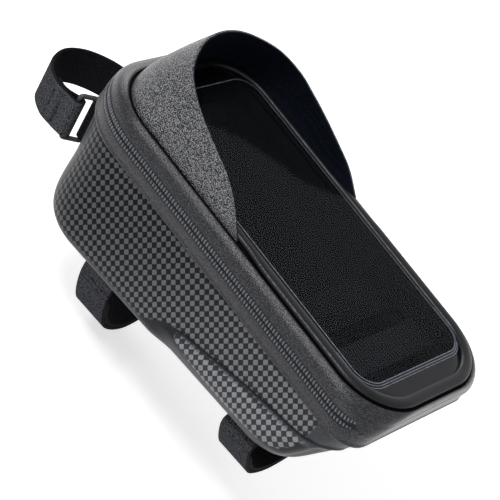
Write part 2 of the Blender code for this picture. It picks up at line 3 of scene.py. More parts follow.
import bmesh
import bpy
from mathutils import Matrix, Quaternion, Vector


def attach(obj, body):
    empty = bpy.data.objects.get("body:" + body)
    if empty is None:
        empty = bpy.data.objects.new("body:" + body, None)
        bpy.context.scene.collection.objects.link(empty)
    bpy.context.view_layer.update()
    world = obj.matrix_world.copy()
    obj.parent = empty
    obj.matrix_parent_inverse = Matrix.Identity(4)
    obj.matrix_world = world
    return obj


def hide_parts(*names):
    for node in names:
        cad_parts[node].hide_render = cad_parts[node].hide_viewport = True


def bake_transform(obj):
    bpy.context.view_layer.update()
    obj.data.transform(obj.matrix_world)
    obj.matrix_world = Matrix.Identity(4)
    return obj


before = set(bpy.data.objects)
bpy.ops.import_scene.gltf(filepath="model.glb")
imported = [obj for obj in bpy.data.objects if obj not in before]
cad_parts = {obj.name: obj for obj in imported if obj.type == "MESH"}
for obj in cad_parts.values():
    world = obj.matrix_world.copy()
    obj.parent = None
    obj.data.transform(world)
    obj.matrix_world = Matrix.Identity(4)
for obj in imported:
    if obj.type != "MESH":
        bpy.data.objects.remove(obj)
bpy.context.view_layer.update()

# The row frame is metres. Shapes are written in millimetres in the lid frame, z 0 at the window.
MM = 0.001
SEAT_Z = -74.22
SPLIT_Z = -10.5
SEAM_Z = -20.8
UNDER_SLOPE = 0.0995
UNDER_Z = -70.0
TILT = math.atan(UNDER_SLOPE)
SEAT_DROP = 4.2

# phone that the window is made for
PHONE_HALF_L = 79.95
PHONE_HALF_W = 38.35
PHONE_CORNER = 11.0

# outline of the zip band: z, front x, rear x, half width, front corner, rear corner
BAND_LEVELS = [
    (-0.2, -96.65, 96.1, 46.55, 28.0, 29.0),
    (-1.0, -98.3, 96.8, 47.9, 29.5, 28.5),
    (-3.0, -101.6, 97.1, 49.8, 33.0, 27.0),
    (-6.0, -104.6, 96.9, 51.2, 38.0, 24.0),
    (-10.5, -105.6, 96.3, 51.9, 39.5, 20.0),
    (-15.0, -105.2, 95.9, 51.7, 37.5, 17.0),
    (-20.8, -103.6, 95.3, 50.45, 33.5, 14.0),
]
# outline of the shell from rim to underside: share of depth, then as above
SHELL_LEVELS = [
    (0.0, -102.3, 94.6, 50.0, 33.0, 15.0),
    (0.15, -99.8, 91.5, 49.8, 32.0, 16.0),
    (0.45, -96.5, 85.5, 49.2, 31.0, 17.0),
    (0.75, -94.5, 79.5, 48.4, 30.0, 18.0),
    (0.88, -92.5, 76.5, 47.2, 29.0, 18.0),
    (0.95, -89.5, 73.5, 45.2, 27.0, 17.0),
    (0.985, -86.0, 70.5, 43.0, 25.0, 16.0),
    (1.0, -82.5, 67.5, 40.5, 23.0, 15.0),
]
GROOVE = BAND_LEVELS[0][1:]
SHELL_TOP = SEAM_Z - 0.1
SHELL_T = 4.0
BAND_T = 1.7
GAP = 0.3
# what the corners take of a long side and of an end, for counting the steps between them
SIDE_CORNERS = 60.0
END_CORNERS = 57.0

# piping: inset of its outer edge beside and behind the visor, of its inner edge, and its half height
BEAD_OUTER = (2.15, 1.0)
BEAD_INNER = 6.9
BEAD_HALF = 1.75
# the film's outer steps carry a painted highlight only behind this x
RIM_X = 58.0
PLAIN, FILM, RIM = 0, 1, 2

# edges of the band at the split: half the slit, the start of its rounding and how far it rounds in
SLIT = 0.15
LIP = 0.35
LIP_IN = 0.25
# across the rear the edges draw back this far, fading over a height, from the first x to the second
PART_BACK = 1.2
PART_FADE = 3.0
PART_X = (91.5, 94.6)

# rear fold: half height, swell, turn into the rear corners in degrees, bending line and its half height
FOLD_HALF = 4.2
FOLD_SWELL = 0.55
FOLD_SINK = 0.15
FOLD_TURN = 46.0
FOLD_BEND = 2.8

# pocket under the window
PHONE_PLAY = 1.4
PANEL_TOP = -12.5
POCKET_FLOOR = (-90.5, 46.0, PHONE_HALF_W + 4.25, 22.0, 3.0)
CLOSURE_GAP = 8.0
PAD_SIZE = (12.0, 48.0)
MOUTH_X = PHONE_HALF_L - 8.2

# relief moulded into the shell: the check's squares stand on their corners
CHECK_ALONG = 3.2
CHECK_UP = 4.05
CREASE = [(-18.0, -72.0), (-14.5, -66.5), (-9.0, -61.5), (-5.6, -57.8), (-1.6, -54.6), (3.0, -52.8),
          (8.2, -50.9), (20.2, -47.3), (32.0, -44.0), (43.3, -40.6), (53.5, -38.3), (63.9, -35.9),
          (72.0, -34.1), (77.0, -33.0), (87.0, -29.6), (96.0, -26.0)]
PANEL_FOOT = [(4.0, -54.5), (8.0, -56.2), (17.0, -57.8), (28.0, -58.2), (41.0, -57.4), (51.0, -55.8),
              (60.0, -53.8), (67.0, -51.4), (72.0, -47.5), (75.5, -41.0), (77.0, -36.0)]
PANEL_RISE = 2.1
CREASE_DEEP = 1.0
# share of the depth at which the side starts to round under
ROUND_FROM = 0.86
# how far the sides pull in low down at the rear, at a half width of TUCK_AT
TUCK = 3.4
TUCK_AT = 50.0
# share of the relief's height that the check runs on down the slope
SLOPE_SHARE = 0.55

# zip
TOOTH_PITCH = 1.62
TOOTH_LONG = 2.3
TOOTH_WIDE = 0.95
TOOTH_RISE = 0.8
TOOTH_SLANT = 0.25
TAPE_W = 3.0
# angle round the rear corners at which the zip ends, and the step along a stop
ZIP_END = 44.0
STOP_TURN = 2.4

# visor's free edge, left half, from the rear tip to the front: x, share of the groove's half width, z
VISOR_EDGE = [
    (-4.5, 0.99, 0.9),
    (-15.3, 0.954, 8.9),
    (-26.5, 0.915, 14.0),
    (-38.2, 0.907, 17.6),
    (-50.0, 0.887, 21.0),
    (-62.0, 0.838, 24.4),
    (-74.5, 0.683, 27.4),
    (-84.6, 0.352, 29.8),
    (-87.4, 0.0, 31.0),
]
VISOR_TIP = -3.5
VISOR_FOOT_IN = 1.1
VISOR_FOOT_Z = -0.9
# how the foot's points crowd to the front, how the rows lean and how far they belly out
VISOR_CROWD = 0.97
VISOR_LEAN = 1.45
VISOR_BELLY = 0.035

# straps
STRAP_W = 19.5
STRAP_T = 1.6
STRAP_X = (-46.0, 52.5)
# the tunnel in the seat patch: half its length and the height of the strap's lower face in it
TUNNEL_HALF = 26.0
TUNNEL_LOW = 1.6
LOOP_FRONT = [(26.0, -0.6), (33.4, 6.0), (30.5, 20.0), (19.5, 36.4), (0.0, 43.7)]
LOOP_REAR = [(26.0, -0.6), (36.5, 5.0), (31.8, 16.3), (19.0, 29.8), (0.0, 34.6)]
HEAD_W = 20.0
HEAD_T = 1.5
HEAD_LOOP = [
    (-16.0, -25.2), (-26.5, -23.2), (-38.0, -14.5), (-43.9, 0.0),
    (-41.0, 12.0), (-31.7, 20.7), (-20.0, 24.8), (-5.0, 27.0),
]
HEAD_ORIGIN = (-99.2, 0.0, -45.8)
HEAD_LEAN = math.atan(0.18)
HEAD_MIDDLE = (-18.0, 1.0)
HEAD_BACK = [(-26.5, -20.2), (-22.0, -21.9), (-18.0, -22.0), (-15.0, -20.9)]
HEAD_END = [(-1.2, 26.4), (0.6, 24.9), (1.0, 21.8), (1.0, 17.0), (1.0, 12.0)]
TAB_WALL = [(1.0, 5.0), (1.0, 0.5), (0.9, -4.0), (-0.6, -7.8), (-2.6, -9.8)]
TAB_TAIL = [(-2.4, -16.6), (-0.3, -17.7), (0.9, -20.0)]
HEAD_RING = (-8.2, -17.6)
HEAD_RING_DIR = (0.526, 0.85)
RING_HALF = 6.25
RING_BAR = 2.2
RING_PAST = 3.2
RING_CORNER = 2.4
RING_HOLE_CORNER = 0.9

# lamps: name, place and size in metres, watts
LAMPS = [
    ("key", (-0.25, -0.75, 1.3), 0.45, 13.0),
    ("fill", (0.6, -1.5, 0.3), 1.0, 6.0),
    ("rim", (-1.4, 0.7, 0.7), 0.6, 8.0),
]
AIM = (0.0, 0.0, 0.06)
WORLD_LIGHT = 0.32
FLOOR_GLOW = 0.6
FLOOR_DROP = 48.0

# camera, solved on the photo
CAMERA_AT = (237.2, -771.3, 531.3)
CAMERA_TO = (-6.12, -14.86, -20.0)
CAMERA_ROLL = 41.6
CAMERA_LENS = 159.4

FINE = 2


def row(x, y, z):
    """A lid frame point in millimetres as a row frame vector in metres."""
    return Vector((x * MM, y * MM, (z - SEAT_Z) * MM))


def under(a, b, c):
    """A point given along, across and above the seat face, in row metres."""
    ct = math.cos(TILT)
    st = math.sin(TILT)
    return Vector(((a * ct - c * st) * MM, b * MM, (a * st + c * ct) * MM))


def head(s, y, h):
    """A point in the head strap's frame: out from the wall, across, up the strap's width."""
    cl = math.cos(HEAD_LEAN)
    sl = math.sin(HEAD_LEAN)
    ox, oy, oz = HEAD_ORIGIN
    return row(ox + s * cl - h * sl, oy + y, oz + s * sl + h * cl)


def mix(a, b, t):
    """From a at t 0 to b at t 1."""
    return a + (b - a) * t


def ease(x, low, high):
    """A smooth step from 0 at low to 1 at high."""
    t = min(1.0, max(0.0, (x - low) / (high - low)))
    return t * t * (3.0 - 2.0 * t)


def between(table, key):
    """Interpolate a table on its first column."""
    rows = sorted(table)
    if key <= rows[0][0]:
        return rows[0][1:]
    for low, high in zip(rows, rows[1:]):
        if key <= high[0]:
            t = (key - low[0]) / (high[0] - low[0])
            return tuple(mix(p, q, t) for p, q in zip(low[1:], high[1:]))
    return rows[-1][1:]


def smooth_table(table, key):
    """Interpolate a table on its first column with a curve through its rows."""
    rows = sorted(table)
    if key <= rows[0][0]:
        return rows[0][1:]
    if key >= rows[-1][0]:
        return rows[-1][1:]
    k = max(i for i in range(len(rows) - 1) if rows[i][0] <= key)
    p1, p2 = rows[k], rows[k + 1]
    p0 = rows[max(k - 1, 0)]
    p3 = rows[min(k + 2, len(rows) - 1)]
    span = p2[0] - p1[0]
    t = (key - p1[0]) / span
    out = []
    for c in range(1, len(p1)):
        m1 = (p2[c] - p0[c]) / (p2[0] - p0[0]) * span
        m2 = (p3[c] - p1[c]) / (p3[0] - p1[0]) * span
        h00 = (1 + 2 * t) * (1 - t) ** 2
        h10 = t * (1 - t) ** 2
        h01 = t * t * (3 - 2 * t)
        h11 = t * t * (t - 1)
        out.append(h00 * p1[c] + h10 * m1 + h01 * p2[c] + h11 * m2)
    return tuple(out)


def rounded(spec, inset=0.0, step=2.0, corner=None):
    """Points of a rounded rectangle in plan with a unit outward normal at each."""
    xf, xr, b, rf, rr = spec
    corner = corner or max(8, int(50.0 / step))
    xf += inset
    xr -= inset
    b -= inset
    rf = max(rf - inset, 0.5)
    rr = max(rr - inset, 0.5)
    corners = [
        (xr - rr, b - rr, 0, rr), (xf + rf, b - rf, 90, rf),
        (xf + rf, -(b - rf), 180, rf), (xr - rr, -(b - rr), 270, rr),
    ]
    side_n = max(2, int((GROOVE[1] - GROOVE[0] - SIDE_CORNERS) / step))
    end_n = max(2, int((2 * GROOVE[2] - END_CORNERS) / step))
    counts = (side_n, end_n, side_n, end_n)
    out = []
    for k, (cx, cy, start, r) in enumerate(corners):
        for i in range(corner + 1):
            a = math.radians(start + 90.0 * i / corner)
            n = Vector((math.cos(a), math.sin(a)))
            out.append((Vector((cx, cy)) + n * r, n))
        nx, ny, turn, nr = corners[(k + 1) % 4]
        a = math.radians(turn)
        n = Vector((math.cos(a), math.sin(a)))
        p = out[-1][0]
        q = Vector((nx, ny)) + n * nr
        for i in range(1, counts[k]):
            out.append((p.lerp(q, i / counts[k]), n))
    return out


def spline(points, steps):
    """A smooth open path through points, with the given steps per span."""
    pts = [Vector(p) for p in points]
    ext = [pts[0] * 2 - pts[1]] + pts + [pts[-1] * 2 - pts[-2]]
    out = []
    for k in range(1, len(ext) - 2):
        p0, p1, p2, p3 = ext[k - 1:k + 3]
        for i in range(steps):
            t = i / steps
            a = p1 * 2 + (p2 - p0) * t
            b = (p0 * 2 - p1 * 5 + p2 * 4 - p3) * t * t
            c = (p1 * 3 - p0 - p2 * 3 + p3) * t * t * t
            out.append((a + b + c) * 0.5)
    out.append(pts[-1])
    return out


def normals_2d(path):
    """The unit normal on the left at each point of a flat path."""
    out = []
    for i in range(len(path)):
        d = path[min(i + 1, len(path) - 1)] - path[max(i - 1, 0)]
        d.normalize()
        out.append(Vector((-d.y, d.x)))
    return out


def linear(code):
    """Linear colour of an sRGB hex code."""
    out = []
    for k in (0, 2, 4):
        c = int(code[k:k + 2], 16) / 255.0
        out.append(c / 12.92 if c <= 0.04045 else ((c + 0.055) / 1.055) ** 2.4)
    return (out[0], out[1], out[2], 1.0)


def add(tree, kind, settings=None, **inputs):
    """Add a node; inputs are values or the sockets that feed them."""
    node = tree.nodes.new(kind)
    for key, value in (settings or {}).items():
        setattr(node, key, value)
    for key, value in inputs.items():
        socket = node.inputs[int(key[1:])] if key[1:].isdigit() else node.inputs[key.replace("_", " ")]
        if isinstance(value, bpy.types.NodeSocket):
            tree.links.new(value, socket)
        else:
            socket.default_value = value
    return node


def material(name, rough, metal=0.0, shine=0.5, **more):
    """A Principled material; shine is its specular level, more holds its other constant sockets."""
    mat = bpy.data.materials.new(name)
    mat.use_nodes = True
    tree = mat.node_tree
    skin = tree.nodes["Principled BSDF"]
    skin.inputs["Roughness"].default_value = rough
    skin.inputs["Metallic"].default_value = metal
    skin.inputs["Specular IOR Level"].default_value = shine
    for key, value in more.items():
        skin.inputs[key.replace("_", " ")].default_value = value
    spot = add(tree, "ShaderNodeTexCoord").outputs["Object"]
    return mat, tree, skin, spot


def shades(tree, skin, value, *stops):
    """Colour the skin from a value through stops of position and hex colour."""
    ramp = add(tree, "ShaderNodeValToRGB", Fac=value)
    points = ramp.color_ramp.elements
    while len(points) < len(stops):
        points.new(0.5)
    for point, (at, code) in zip(points, stops):
        point.position = at
        point.color = linear(code)
    if skin:
        tree.links.new(ramp.outputs["Color"], skin.inputs["Base Color"])
    return ramp.outputs["Color"]


def rough_relief(tree, skin, height, strength, deep):
    """Bump the skin by a height whose full range stands that many millimetres."""
    bump = add(tree, "ShaderNodeBump", Height=height, Strength=strength, Distance=deep * MM)
    tree.links.new(bump.outputs["Normal"], skin.inputs["Normal"])


def per_mm(size):
    """Texture scale whose features are that many millimetres across."""
    return 1000.0 / size


def pebbled(name, dark, mid, light, rough, grain, depth, **more):
    """Polyurethane leather cloth with a pressed pebble grain: the pebble tops shine and are painted pale as
    glints, the furrows painted dark as shade. The real grain is about 0.4 mm; band and piping draw it coarser so
    that it shows."""
    mat, tree, skin, spot = material(name, rough, **more)
    cells = add(tree, "ShaderNodeTexVoronoi", Vector=spot, Scale=per_mm(grain))
    cloud = add(tree, "ShaderNodeTexNoise", Vector=spot, Scale=per_mm(26.0), Detail=2.0)
    # painted glints and shade: the cells' centres are painted pale as glints on the pebble tops and their edges
    # dark as shade in the furrows
    shades(tree, skin, cells.outputs["Distance"], (0.2, light), (0.42, mid), (0.62, dark))
    rough_relief(tree, skin, cells.outputs["Distance"], depth, grain * 0.3)
    tone = add(tree, "ShaderNodeMapRange", Value=cloud.outputs["Fac"], To_Min=rough - 0.06, To_Max=rough + 0.08)
    tree.links.new(tone.outputs["Result"], skin.inputs["Roughness"])
    return mat


def woven(name, dark, light, thread, rough=0.88, depth=0.5, **more):
    """Close cloth: every thread crossing is a small soft bump that scatters light, so there is no shine."""
    mat, tree, skin, spot = material(name, rough, shine=0.04, **more)
    knots = add(tree, "ShaderNodeTexVoronoi", Vector=spot, Scale=per_mm(thread), Randomness=0.45)
    fuzz = add(tree, "ShaderNodeTexNoise", Vector=spot, Scale=per_mm(thread * 0.8), Detail=3.0)
    both = add(tree, "ShaderNodeMath", {"operation": "MULTIPLY_ADD"}, _0=knots.outputs["Distance"], _1=-0.5,
               _2=fuzz.outputs["Fac"])
    shades(tree, skin, both.outputs[0], (0.14, dark), (0.42, light))
    rough_relief(tree, skin, both.outputs[0], depth, thread * 0.35)
    return mat


def moulded(name, dark, light, rough, speck=0.6, depth=0.15, **more):
    """Moulded plastic or rubber: an even colour with a fine spark texture from the mould."""
    mat, tree, skin, spot = material(name, rough, **more)
    grit = add(tree, "ShaderNodeTexNoise", Vector=spot, Scale=per_mm(speck), Detail=2.0)
    shades(tree, skin, grit.outputs["Fac"], (0.3, dark), (0.7, light))
    rough_relief(tree, skin, grit.outputs["Fac"], depth, 0.1)
    return mat


def ribbed(name, dark, light, pitch, axis, rough=0.85, depth=0.7):
    """Knitted elastic or brushed tape: fine ribs side by side along one axis."""
    mat, tree, skin, spot = material(name, rough, shine=0.04)
    wave = add(tree, "ShaderNodeTexWave", {"bands_direction": axis}, Vector=spot,
               Scale=per_mm(pitch) / 20.0 * math.pi, Distortion=0.4)
    fuzz = add(tree, "ShaderNodeTexNoise", Vector=spot, Scale=per_mm(pitch * 0.6), Detail=2.0)
    both = add(tree, "ShaderNodeMath", {"operation": "MULTIPLY_ADD"}, _0=fuzz.outputs["Fac"], _1=0.6,
               _2=wave.outputs["Fac"])
    shades(tree, skin, both.outputs[0], (0.3, dark), (1.2, light))
    rough_relief(tree, skin, both.outputs[0], depth, pitch * 0.3)
    return mat


def checked_shell():
    """Polyurethane over moulded foam, pressed with a check: the raised squares are painted paler, as light on
    their tops, and the ground between them painted dark, as shade in the recesses. The mesh carries where the
    check runs, how deep it is and its share of painted light."""
    mat, tree, skin, spot = material("embossed_polyurethane_shell", 0.36, shine=0.07)

    def carried(name):
        return add(tree, "ShaderNodeAttribute", {"attribute_name": name}).outputs["Fac"]

    def calc(kind, *values):
        inputs = {"_%d" % k: value for k, value in enumerate(values)}
        return add(tree, "ShaderNodeMath", {"operation": kind}, **inputs).outputs[0]

    along, up, deep, painted_light = [carried(n) for n in ("check_along", "check_up", "check_deep", "check_painted_light")]
    rise = calc("SINE", calc("MULTIPLY", calc("ADD", along, up), math.pi))
    fall = calc("SINE", calc("MULTIPLY", calc("SUBTRACT", along, up), math.pi))
    wave = calc("MULTIPLY", rise, fall)
    # the squares take the painted light and the ground between them the painted shade
    square = add(tree, "ShaderNodeMapRange", {"interpolation_type": "SMOOTHSTEP"}, Value=wave, From_Min=-0.06,
                 From_Max=0.1).outputs["Result"]
    # each square's centre is dimmed so that its edge reads as a painted highlight
    painted_rim_highlight_dip = add(tree, "ShaderNodeMapRange", {"interpolation_type": "SMOOTHSTEP"}, Value=wave, From_Min=0.45,
                 From_Max=0.95, To_Max=0.16).outputs["Result"]
    square = calc("SUBTRACT", square, painted_rim_highlight_dip)
    fleck = add(tree, "ShaderNodeTexNoise", Vector=spot, Scale=per_mm(0.7), Detail=2.0).outputs["Fac"]
    spread = calc("MULTIPLY_ADD", calc("SUBTRACT", square, 0.5), deep, 0.5)
    tone = calc("MULTIPLY_ADD", calc("SUBTRACT", fleck, 0.5), 0.3, spread)
    # near is the shaded copy of the check's colours and far the lit copy; the painted-light share mixes them,
    # painting the check lighter on the lower panel and toward the lower rear and darker up under the band
    near = shades(tree, None, tone, (0.12, "050607"), (0.5, "242529"), (0.85, "505155"))
    far = shades(tree, None, tone, (0.12, "38393c"), (0.5, "4a4b4f"), (0.85, "8b8c90"))
    both = add(tree, "ShaderNodeMix", {"data_type": "RGBA"}, _0=painted_light, _6=near, _7=far)
    tree.links.new(both.outputs[2], skin.inputs["Base Color"])
    pillow = calc("MULTIPLY", calc("POWER", calc("MAXIMUM", wave, 0.0), 0.5), deep)
    rough_relief(tree, skin, calc("MULTIPLY_ADD", fleck, 0.18, pillow), 0.7, 0.3)
    return mat


def clear_film():
    """Clear thermoplastic polyurethane: next to no colour of its own, and a hard wet shine."""
    mat, tree, skin, spot = material("clear_polyurethane_film", 0.08, IOR=1.5, Alpha=0.1, shine=0.3)
    skin.inputs["Base Color"].default_value = linear("23262b")
    ripple = add(tree, "ShaderNodeTexNoise", Vector=spot, Scale=per_mm(45.0), Detail=1.0)
    rough_relief(tree, skin, ripple.outputs["Fac"], 0.08, 0.6)
    return mat


def solid(name, bm, mat, smooth=True):
    """An object from a finished bmesh, with faces out and smooth shading."""
    bmesh.ops.recalc_face_normals(bm, faces=bm.faces[:])
    mesh = bpy.data.meshes.new(name)
    bm.to_mesh(mesh)
    bm.free()
    obj = bpy.data.objects.new(name, mesh)
    bpy.context.scene.collection.objects.link(obj)
    mats = mat if isinstance(mat, (list, tuple)) else [mat]
    for m in mats:
        mesh.materials.append(m)
    if smooth:
        mesh.shade_smooth()
        mesh.set_sharp_from_angle(angle=math.radians(50))
    return obj


def loft(name, rings, mat, closed=True, tube=False, caps=True, paint=None):
    """A skin through equal rings. closed joins each ring to itself, tube the last ring to the first.
    paint gives a face's material index from its ring and side."""
    bm = bmesh.new()
    rows = [[bm.verts.new(p) for p in ring] for ring in rings]
    pairs = list(zip(rows, rows[1:]))
    if tube:
        pairs.append((rows[-1], rows[0]))
    for i, (a, b) in enumerate(pairs):
        n = len(a)
        for j in range(n if closed else n - 1):
            k = (j + 1) % n
            face = bm.faces.new((a[j], a[k], b[k], b[j]))
            if paint:
                face.material_index = paint(i, j)
    if caps and closed and not tube:
        bm.faces.new(rows[0])
        bm.faces.new(list(reversed(rows[-1])))
    return solid(name, bm, mat)


def ring_at(spec, inset, z, step):
    """The points of a rounded rectangle at a height."""
    return [row(p.x, p.y, z) for p, _ in rounded(spec, inset, step)]


def hoop(name, spec, section, mat, step):
    """A closed ring whose section is a list of inset and height pairs."""
    return loft(name, [ring_at(spec, d, z, step) for d, z in section], mat, tube=True)


def dress(node, mat):
    """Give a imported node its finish."""
    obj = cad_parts[node]
    obj.data.materials.clear()
    obj.data.materials.append(mat)
    obj.data.shade_smooth()
    obj.data.set_sharp_from_angle(angle=math.radians(35))
    return obj


def place(obj, body, slot, *nodes):
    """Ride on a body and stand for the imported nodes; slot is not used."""
    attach(obj, body)
    if nodes:
        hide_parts(*nodes)
    return obj


def under_z(x):
    """Height of the sloping underside."""
    return UNDER_Z + UNDER_SLOPE * x


def relief(x, n, z, floor):
    """Height of the shell's relief at a point, the depth of the check there and its share of painted light."""
    side = ease(abs(n.y), 0.55, 0.85)
    low = ease(x, -10.0, 12.0) * (1.0 - ease(x, 79.0, 86.0))
    below = between(CREASE, x)[0] - z
    foot = between(PANEL_FOOT, x)[0]
    panel = ease(below, 1.0, 3.4) * low * side * ease(z - floor, 3.0, 16.0)
    valley = math.exp(-((below - 1.0) / 1.5) ** 2) * ease(x, -6.0, 10.0) * side
    valley *= ease(z - floor, 1.0, 8.0)
    height = PANEL_RISE * panel - CREASE_DEEP * valley
    ridge = math.exp(-((below - 1.2) / 1.6) ** 2) * ease(x, 76.0, 82.0) * ease(abs(n.y), 0.05, 0.3)
    height += 0.9 * ridge
    upper = 1.0 - ease(below, -1.0, 0.6)
    lower = ease(below, 1.0, 2.7) * ease(z - foot, -0.6, 1.0) * ease(x, 3.0, 7.0)
    deep = upper * ease(z - floor, 4.5, 7.5) + lower
    deep *= 1.0 - ease(x, 76.6, 78.6)
    deep *= ease(abs(n.y), 0.7, 0.86)
    # painted light: the share of the check's lit colours, high on the lower panel and rising toward the lower
    # rear, low up under the band where painted shade stands
    painted_light = 0.9 * lower + 0.62 * upper * ease(x + 1.1 * (SHELL_TOP - z), -40.0, 95.0)
    return height, deep, painted_light


def make_shell(mats):
    """The moulded shell with its check relief, crease and bulging lower panel."""
    step = 0.7 if FINE == 2 else 1.5
    deep = int(50.0 / step)
    levels = [k / deep * ROUND_FROM for k in range(deep)]
    for k in range(13):
        levels.append(ROUND_FROM + (1.0 - ROUND_FROM) * (1.0 - math.cos(math.radians(7.5 * k))) ** 0.8)
    corner = int(40.0 / step)
    rings = []
    marks = []
    for share in levels:
        points = rounded(smooth_table(SHELL_LEVELS, share), 0.0, step, corner)
        front = min(range(len(points)), key=lambda i: (round(points[i][0].x, 2), round(abs(points[i][0].y), 2)))
        along = [0.0] * len(points)
        for turn in (1, -1):
            total = 0.0
            half = [(front + turn * k) % len(points) for k in range(1, len(points) // 2 + 1)]
            for i in half:
                total += (points[i][0] - points[(i - turn) % len(points)][0]).length
                along[i] = total
            level = min(half, key=lambda i: abs(points[i][0].x))
            start = along[level] - points[level][0].x
            for i in half:
                along[i] = (along[i] - start) / CHECK_ALONG
        ring = []
        line = []
        for (p, n), u in zip(points, along):
            tuck = TUCK * ease(p.x, -9.0, 7.0) * ease(share, 0.7, 1.0)
            y = p.y * (1.0 - tuck / TUCK_AT)
            floor = under_z(p.x)
            z = SHELL_TOP + (floor - SHELL_TOP) * share
            height, pressed, painted_light = relief(p.x, n, z, floor)
            ring.append(row(p.x + n.x * height, y + n.y * height, z))
            line.append((u, (z - UNDER_SLOPE * p.x - SLOPE_SHARE * height) / CHECK_UP, pressed, painted_light))
        rings.append(ring)
        marks.append(line)
    start = len(rings)
    for share in (1.0, 0.985, 0.95, 0.88, 0.75, 0.45, 0.15, 0.0):
        ring = []
        for p, n in rounded(smooth_table(SHELL_LEVELS, share), SHELL_T, step, corner):
            floor = under_z(p.x) + SHELL_T
            ring.append(row(p.x, p.y, SHELL_TOP + (floor - SHELL_TOP) * share))
        rings.append(ring)
        marks.append([(0.0, 0.0, 0.0, 0.0)] * len(ring))
    bm = bmesh.new()
    # the last layer carries the check's share of painted light
    layers = [bm.verts.layers.float.new("check_" + n) for n in ("along", "up", "deep", "painted_light")]
    rows = []
    for ring, line in zip(rings, marks):
        made = []
        for p, values in zip(ring, line):
            v = bm.verts.new(p)
            for layer, value in zip(layers, values):
                v[layer] = value
            made.append(v)
        rows.append(made)
    for i, (a, b) in enumerate(zip(rows, rows[1:] + rows[:1])):
        if i == start - 1:
            continue
        for j in range(len(a)):
            k = (j + 1) % len(a)
            face = bm.faces.new((a[j], a[k], b[k], b[j]))
            face.material_index = 1 if i >= start else 0
    bm.faces.new(rows[start - 1])
    cap = bm.faces.new(list(reversed(rows[start])))
    cap.material_index = 1
    obj = solid("embossed_shell", bm, [mats["shell"], mats["lining"]])
    return place(obj, "bag", "shell", "lower_shell")


def band_ring(z, inset, step):
    """A ring of the zip band at a height."""
    return ring_at(smooth_table(BAND_LEVELS, z), inset, z, step)


def parted_ring(z, inset, step):
    """A ring of band whose edge draws back from the split across the rear, where the fold bends."""
    away = math.copysign(PART_BACK, z - SPLIT_Z) * max(0.0, 1.0 - abs(z - SPLIT_Z) / PART_FADE)
    points = rounded(smooth_table(BAND_LEVELS, z), inset, step)
    return [row(p.x, p.y, z + away * ease(p.x, *PART_X)) for p, _ in points]


def make_bands(mats):
    """The padded zip band above and below the teeth, each with a rolled edge."""
    step = 1.5 if FINE == 2 else 3.0
    outer = [-0.55 - 0.2 * k for k in range(4)] + [-1.4 - 0.55 * k for k in range(17)]
    outer = [z for z in outer if z > SPLIT_Z + 0.5]
    rings = [ring_at(GROOVE, -0.1, -0.75, step)]
    rings += [parted_ring(z, 0.0, step) for z in outer]
    rings += [parted_ring(SPLIT_Z + LIP, 0.0, step), parted_ring(SPLIT_Z + SLIT, LIP_IN, step)]
    rings += [parted_ring(SPLIT_Z + SLIT, BAND_T, step), band_ring(-6.2, BAND_T, step)]
    rings += [band_ring(-4.4, 2.2, step)]
    rings += [ring_at(GROOVE, -0.25, z, step) for z in (-3.0, -1.0)]
    top = loft("band_above_zip", rings, mats["band"], tube=True)
    place(top, "lid", "band", "zip_band_upper")
    low = [(SPLIT_Z - SLIT, LIP_IN), (SPLIT_Z - LIP, 0.0)]
    low += [(SPLIT_Z - 0.9 - 0.6 * k, 0.0) for k in range(12)]
    low += [(SEAM_Z + 2.2, 0.0), (SEAM_Z + 1.7, -0.3), (SEAM_Z + 1.0, -0.45), (SEAM_Z + 0.4, -0.25)]
    low += [(SEAM_Z + 0.1, 0.4), (SEAM_Z + 0.1, BAND_T)]
    low += [(-18.3, BAND_T), (-14.8, BAND_T), (SPLIT_Z - SLIT, BAND_T)]
    bottom = loft("band_below_zip", [parted_ring(z, d, step) for z, d in low], mats["band"], tube=True)
    place(bottom, "bag", "band", "zip_band_lower")


def make_fold(mats):
    """The strip of band left unzipped across the rear."""
    spans = 60
    section = []
    for k in range(11):
        t = k / 5.0 - 1.0
        section.append((SPLIT_Z + FOLD_HALF * t, FOLD_SWELL * (1.0 - t * t) ** 0.6 - FOLD_SINK))
    rings = []
    for i in range(spans + 1):
        side = 2.0 * i / spans - 1.0
        thin = 1.0 - ease(abs(side), 0.82, 1.0)
        ring = []
        for z, proud in section:
            _, xr, b, _, rr = smooth_table(BAND_LEVELS, z)
            reach = (b - rr) + rr * math.radians(FOLD_TURN)
            d = side * reach
            flat = b - rr
            lift = proud * thin - 0.2 * (1.0 - thin)
            if abs(d) <= flat:
                ring.append(row(xr + lift, d, z))
            else:
                a = (abs(d) - flat) / rr
                y = math.copysign(flat + (rr + lift) * math.sin(a), d)
                ring.append(row(xr - rr + (rr + lift) * math.cos(a), y, z))
        rings.append(ring)
    fold = loft("rear_fold", rings, mats["band"], closed=False)
    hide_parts("hinge_fold")
    reach = Vector((0.0, 0.0, FOLD_BEND * MM))
    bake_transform(fold)


def zip_path(z):
    """Plan points of the zip line from the rear left corner round the front to the rear right."""
    xf, xr, b, rf, rr = smooth_table(BAND_LEVELS, z)
    arcs = [
        (xr - rr, -(b - rr), rr, -ZIP_END, -90.0), (xf + rf, -(b - rf), rf, 270.0, 180.0),
        (xf + rf, b - rf, rf, 180.0, 90.0), (xr - rr, b - rr, rr, 90.0, ZIP_END),
    ]
    pts = []
    for cx, cy, r, start, stop in arcs:
        for i in range(25):
            a = math.radians(mix(start, stop, i / 24))
            pts.append(Vector((cx + r * math.cos(a), cy + r * math.sin(a))))
    return pts


def stations(path, gap):
    """Even stations along a path with the direction and outward normal at each."""
    total = sum((b - a).length for a, b in zip(path, path[1:]))
    count = int(total / gap)
    out = []
    walked = 0.0
    index = 0
    for k in range(count + 1):
        goal = total * k / count
        while index < len(path) - 2 and walked + (path[index + 1] - path[index]).length < goal:
            walked += (path[index + 1] - path[index]).length
            index += 1
        a, b = path[index], path[index + 1]
        d = (b - a).normalized()
        out.append((a + d * (goal - walked), d, Vector((-d.y, d.x)), k / count))
    return out


